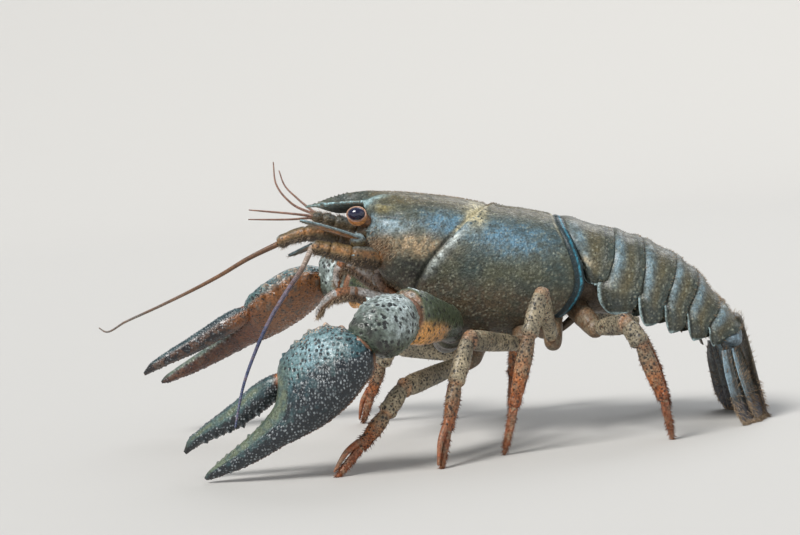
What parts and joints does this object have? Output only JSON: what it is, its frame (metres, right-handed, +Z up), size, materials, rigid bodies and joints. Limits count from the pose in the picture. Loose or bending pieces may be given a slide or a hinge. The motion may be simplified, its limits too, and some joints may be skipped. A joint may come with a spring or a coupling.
{
  "type": "noble crayfish",
  "caption": "Still life-size model of a noble crayfish standing on its walking legs, great claws lowered in front and the tail fan folded down behind.",
  "frame": {"origin": "middle of the bounding box at floor level, under the body", "axes": "+X runs from the head to the tail, so the head points along -X; the animal's left side faces -Y; +Z is up from the floor at z = 0"},
  "size_m": [0.1484, 0.0948, 0.0627],
  "materials": {
    "shell": "semi-gloss dark olive shell with steel-blue flanks",
    "tail": "semi-gloss olive-grey shell bands",
    "claw": "semi-gloss granular shell, blue-green to blue-black",
    "limb": "satin cream to orange-brown shell with dark speckles",
    "feeler": "satin ringed feelers",
    "eye": "glossy blue-black eyes"
  },
  "bodies": {
    "root": {"antenna_base_left": "feeler", "antenna_base_right": "feeler", "antenna_left": "feeler", "antenna_right": "feeler", "antennal_scale_left": "shell", "antennal_scale_right": "shell", "antennule_left": "feeler", "antennule_right": "feeler", "cheliped_left_arm": "claw", "cheliped_left_carpus": "claw", "cheliped_left_finger": "claw", "cheliped_left_palm": "claw", "cheliped_right_arm": "claw", "cheliped_right_carpus": "claw", "cheliped_right_finger": "claw", "cheliped_right_palm": "claw", "eye_left": "eye", "eye_right": "eye", "head": "shell", "leg_2_left_lower": "limb", "leg_2_left_upper": "limb", "leg_2_right_lower": "limb", "leg_2_right_upper": "limb", "leg_3_left_lower": "limb", "leg_3_left_upper": "limb", "leg_3_right_lower": "limb", "leg_3_right_upper": "limb", "leg_4_left_lower": "limb", "leg_4_left_upper": "limb", "leg_4_right_lower": "limb", "leg_4_right_upper": "limb", "leg_5_left_lower": "limb", "leg_5_left_upper": "limb", "leg_5_right_lower": "limb", "leg_5_right_upper": "limb", "maxilliped_left_base": "limb", "maxilliped_left_tip": "limb", "maxilliped_right_base": "limb", "maxilliped_right_tip": "limb", "somite_1": "tail", "somite_2": "tail", "somite_3": "tail", "somite_4": "tail", "somite_5": "tail", "somite_6": "tail", "telson": "tail", "thorax": "shell", "uropod_left_base": "tail", "uropod_left_inner": "tail", "uropod_left_outer": "tail", "uropod_right_base": "tail", "uropod_right_inner": "tail", "uropod_right_outer": "tail"}
  },
  "joints": []
}
